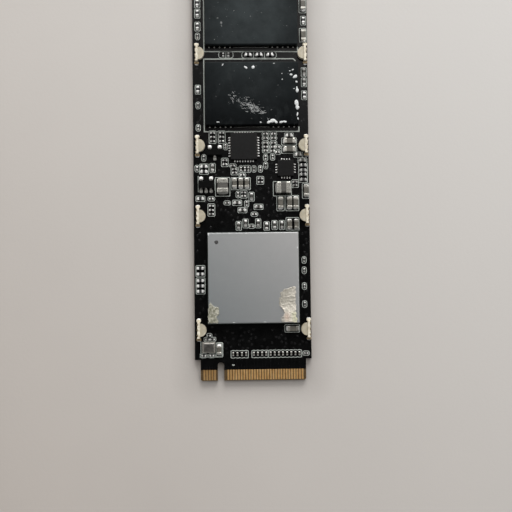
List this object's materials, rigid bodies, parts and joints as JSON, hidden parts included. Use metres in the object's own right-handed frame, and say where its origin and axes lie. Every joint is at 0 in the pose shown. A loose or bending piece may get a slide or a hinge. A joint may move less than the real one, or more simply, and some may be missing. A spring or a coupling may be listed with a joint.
{
  "type": "gumstick solid state drive",
  "caption": "Slim keyed edge-connector storage card with a metal-lidded controller, moulded flash packages, power parts and edge LEDs on one face and a half-round screw notch.",
  "frame": {"origin": "under the middle of the card, on its underside", "axes": "+X across the card, +Y along the card from the edge connector to the screw notch, +Z out of the component side"},
  "size_m": [0.022, 0.08, 0.0021],
  "materials": {
    "solder_mask": "black satin solder mask on laminate",
    "gold_plate": "gold-plated copper, finely scuffed",
    "package_laminate": "dark laminate",
    "lid_metal": "satin nickel-plated lid",
    "solder": "bright solder",
    "flash_mould": "matte moulding compound with residue",
    "chip_mould": "matte moulding compound",
    "tinned_metal": "bright tin",
    "inductor_core": "grey ferrite compound",
    "crystal_ceramic": "ceramic base with a bright weld seam",
    "crystal_metal": "satin metal lid",
    "led_carrier": "cream white carrier",
    "led_lens": "cream diffusing resin",
    "resistor_film": "black glass film",
    "capacitor_ceramic": "grey brown ceramic"
  },
  "bodies": {
    "root": {"circuit_board": "solder_mask", "edge_contacts_top": "gold_plate", "edge_contacts_bottom": "gold_plate", "screw_ring": "gold_plate", "controller_substrate": "package_laminate", "controller_lid": "lid_metal", "controller_solder_balls": "solder", "flash_solder_balls": "solder", "flash_packages": "flash_mould", "power_manager_body": "chip_mould", "regulator_body": "chip_mould", "five_lead_regulator_body": "chip_mould", "transistor_body": "chip_mould", "power_manager_lead_frame": "tinned_metal", "regulator_lead_frame": "tinned_metal", "five_lead_regulator_leads": "tinned_metal", "transistor_leads": "tinned_metal", "inductor_terminals": "tinned_metal", "crystal_pads": "tinned_metal", "led_terminals": "tinned_metal", "small_resistor_end_caps": "tinned_metal", "small_capacitor_end_caps": "tinned_metal", "medium_resistor_end_caps": "tinned_metal", "medium_capacitor_end_caps": "tinned_metal", "large_capacitor_end_caps": "tinned_metal", "bulk_capacitor_end_caps": "tinned_metal", "coupling_capacitor_end_caps": "tinned_metal", "inductor_cores": "inductor_core", "crystal_base": "crystal_ceramic", "crystal_lid": "crystal_metal", "led_carriers": "led_carrier", "led_lenses": "led_lens", "small_resistor_bodies": "resistor_film", "medium_resistor_bodies": "resistor_film", "small_capacitor_bodies": "capacitor_ceramic", "medium_capacitor_bodies": "capacitor_ceramic", "large_capacitor_bodies": "capacitor_ceramic", "bulk_capacitor_bodies": "capacitor_ceramic", "coupling_capacitor_bodies": "capacitor_ceramic"}
  },
  "joints": []
}
